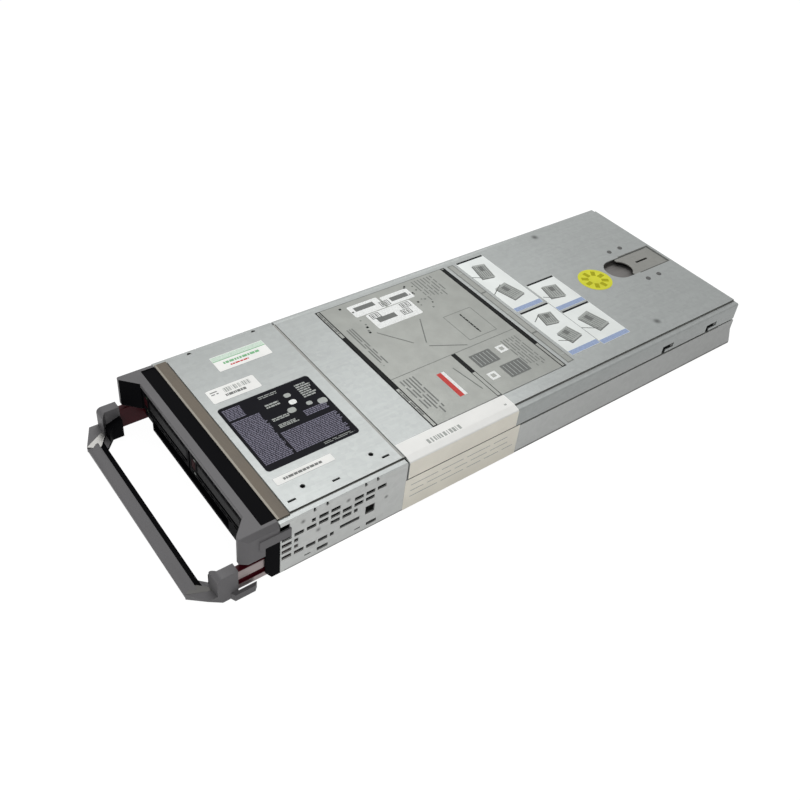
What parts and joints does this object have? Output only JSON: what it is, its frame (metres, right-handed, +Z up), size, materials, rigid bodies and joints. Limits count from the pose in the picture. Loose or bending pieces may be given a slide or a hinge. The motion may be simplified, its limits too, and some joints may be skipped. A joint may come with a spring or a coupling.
{
  "type": "blade server",
  "caption": "Slim steel server module with a pull-out front handle, hot-swap drive carriers, a sliding latched cover, boards inside and plug-in rear connectors.",
  "frame": {"origin": "middle of the whole part's footprint, on the flat underside of the tray", "axes": "+X across the body to the side with the picture's wrapped label, +Y from the handle to the rear connectors, +Z up through the cover"},
  "size_m": [0.1958, 0.5559, 0.0512],
  "materials": {
    "galvanised_steel": "zinc-coated sheet, satin with faint spangle",
    "bright_steel": "plated, satin",
    "black_steel": "black powder coat",
    "gasket_fabric": "metallised cloth over foam",
    "black_plastic": "fine moulded texture",
    "grey_plastic": "fine moulded texture, mid grey",
    "maroon_plastic": "smooth dark red",
    "green_board": "solder mask over glass fibre",
    "brass": "turned",
    "aluminium_fin": "extruded, bare",
    "memory_spreader": "stamped heat spreader over a board",
    "nickel": "nickel plate",
    "drive_casting": "cast body with a plain lid"
  },
  "bodies": {
    "chassis": {"bezel": "grey_plastic", "board_screws": "bright_steel", "board_standoffs": "brass", "chassis_tray": "galvanised_steel", "chipset_heatsink": "aluminium_fin", "coin_cell": "nickel", "coin_cell_holder": "black_plastic", "control_board": "green_board", "cover_studs": "bright_steel", "cpu_socket_left": "black_plastic", "cpu_socket_right": "black_plastic", "drive_backplane": "green_board", "drive_cage": "galvanised_steel", "drive_connectors": "black_plastic", "front_frame": "black_plastic", "front_plate": "galvanised_steel", "gasket_strip": "gasket_fabric", "guide_bushes": "bright_steel", "heatsink_left": "aluminium_fin", "heatsink_right": "aluminium_fin", "memory_module_left_1": "memory_spreader", "memory_module_left_2": "memory_spreader", "memory_module_left_3": "memory_spreader", "memory_module_left_4": "memory_spreader", "memory_module_right_1": "memory_spreader", "memory_module_right_2": "memory_spreader", "memory_module_right_3": "memory_spreader", "memory_module_right_4": "memory_spreader", "memory_sockets_left": "black_plastic", "memory_sockets_right": "black_plastic", "mezzanine_card_left": "green_board", "mezzanine_card_right": "green_board", "mezzanine_connectors": "black_plastic", "midplane_connector_left": "black_plastic", "midplane_connector_right": "black_plastic", "power_connector": "black_plastic", "processor_left": "nickel", "processor_right": "nickel", "storage_controller": "green_board", "system_board": "green_board", "usb_ports": "bright_steel", "vent_screen": "black_steel"},
    "cover": {"top_cover": "galvanised_steel", "latch_housing": "galvanised_steel", "latch_rivets": "bright_steel"},
    "latch": {"cover_latch": "galvanised_steel"},
    "handle": {"handle": "grey_plastic", "handle_insert": "black_plastic", "handle_rail_left": "maroon_plastic", "handle_rail_right": "maroon_plastic"},
    "power_button": {"power_button": "grey_plastic"},
    "carrier_left": {"drive_carrier_left": "black_plastic", "hard_drive_left": "drive_casting"},
    "lever_left": {"drive_lever_left": "grey_plastic"},
    "button_left": {"drive_button_left": "maroon_plastic"},
    "carrier_right": {"drive_carrier_right": "black_plastic", "hard_drive_right": "drive_casting"},
    "lever_right": {"drive_lever_right": "grey_plastic"},
    "button_right": {"drive_button_right": "maroon_plastic"}
  },
  "joints": [
    {"name": "cover_slide", "type": "slide", "parent": "chassis", "child": "cover", "axis": [0, 1, 0], "range_m": [0, 0.01]},
    {"name": "latch_slide", "type": "slide", "parent": "cover", "child": "latch", "axis": [0, -1, 0], "range_m": [0, 0.008], "stiffness_N_per_m": 200, "springref_m": -0.004},
    {"name": "handle_slide", "type": "slide", "parent": "chassis", "child": "handle", "axis": [0, 1, 0], "range_m": [0, 0.016]},
    {"name": "power_press", "type": "slide", "parent": "chassis", "child": "power_button", "axis": [0, 1, 0], "range_m": [0, 0.0014], "stiffness_N_per_m": 500, "springref_m": -0.001},
    {"name": "carrier_slide_left", "type": "slide", "parent": "chassis", "child": "carrier_left", "axis": [0, -1, 0], "range_m": [0, 0.1]},
    {"name": "lever_swing_left", "type": "hinge", "parent": "carrier_left", "child": "lever_left", "pos_m": [-0.0056, -0.2305, 0.037], "axis": [0, 0, 1], "range_deg": [0, 50]},
    {"name": "button_press_left", "type": "slide", "parent": "carrier_left", "child": "button_left", "axis": [0, 1, 0], "range_m": [0, 0.0015], "stiffness_N_per_m": 400, "springref_m": -0.001},
    {"name": "carrier_slide_right", "type": "slide", "parent": "chassis", "child": "carrier_right", "axis": [0, -1, 0], "range_m": [0, 0.1]},
    {"name": "lever_swing_right", "type": "hinge", "parent": "carrier_right", "child": "lever_right", "pos_m": [0.06985, -0.2305, 0.037], "axis": [0, 0, 1], "range_deg": [0, 50]},
    {"name": "button_press_right", "type": "slide", "parent": "carrier_right", "child": "button_right", "axis": [0, 1, 0], "range_m": [0, 0.0015], "stiffness_N_per_m": 400, "springref_m": -0.001}
  ]
}
